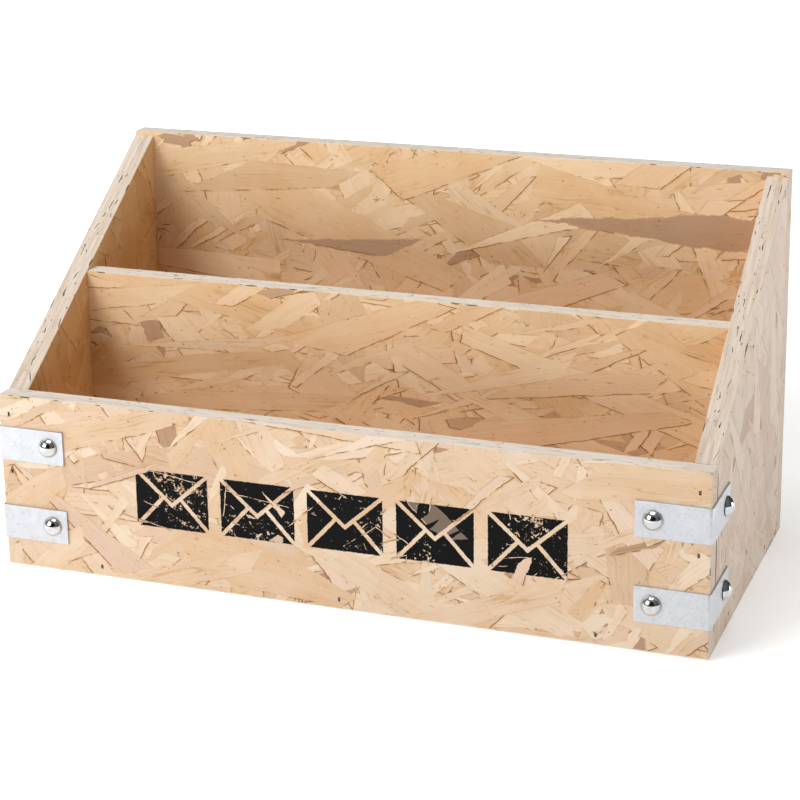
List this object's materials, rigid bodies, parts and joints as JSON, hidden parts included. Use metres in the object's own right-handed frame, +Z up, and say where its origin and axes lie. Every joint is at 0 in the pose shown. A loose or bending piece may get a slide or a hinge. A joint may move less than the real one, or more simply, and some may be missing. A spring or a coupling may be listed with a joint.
{
  "type": "letter rack",
  "caption": "Open-topped desk letter rack of strand board: low front, tall back, sloped sides, one divider, steel corner straps with dome-head nails.",
  "frame": {"origin": "on the surface that the rack stands on, at the middle of the whole rack's length and depth, nail heads included", "axes": "+X along the rack to its right seen from the front, the front faces -Y, +Z up"},
  "size_m": [0.3388, 0.1594, 0.176],
  "materials": {
    "strand_board": "bare pressed strands, lightly sanded",
    "galvanised_strap": "zinc coated, dull",
    "polished_nail": "polished",
    "brad_wire": "plain wire"
  },
  "bodies": {
    "root": {"front_panel": "strand_board", "back_panel": "strand_board", "left_side_panel": "strand_board", "right_side_panel": "strand_board", "divider_panel": "strand_board", "bottom_panel": "strand_board", "left_upper_strap": "galvanised_strap", "left_lower_strap": "galvanised_strap", "right_upper_strap": "galvanised_strap", "right_lower_strap": "galvanised_strap", "left_upper_front_nail": "polished_nail", "left_upper_side_nail": "polished_nail", "left_lower_front_nail": "polished_nail", "left_lower_side_nail": "polished_nail", "right_upper_front_nail": "polished_nail", "right_upper_side_nail": "polished_nail", "right_lower_front_nail": "polished_nail", "right_lower_side_nail": "polished_nail", "front_panel_brads": "brad_wire", "back_panel_brads": "brad_wire", "divider_brads": "brad_wire", "bottom_panel_brads": "brad_wire"}
  },
  "joints": []
}
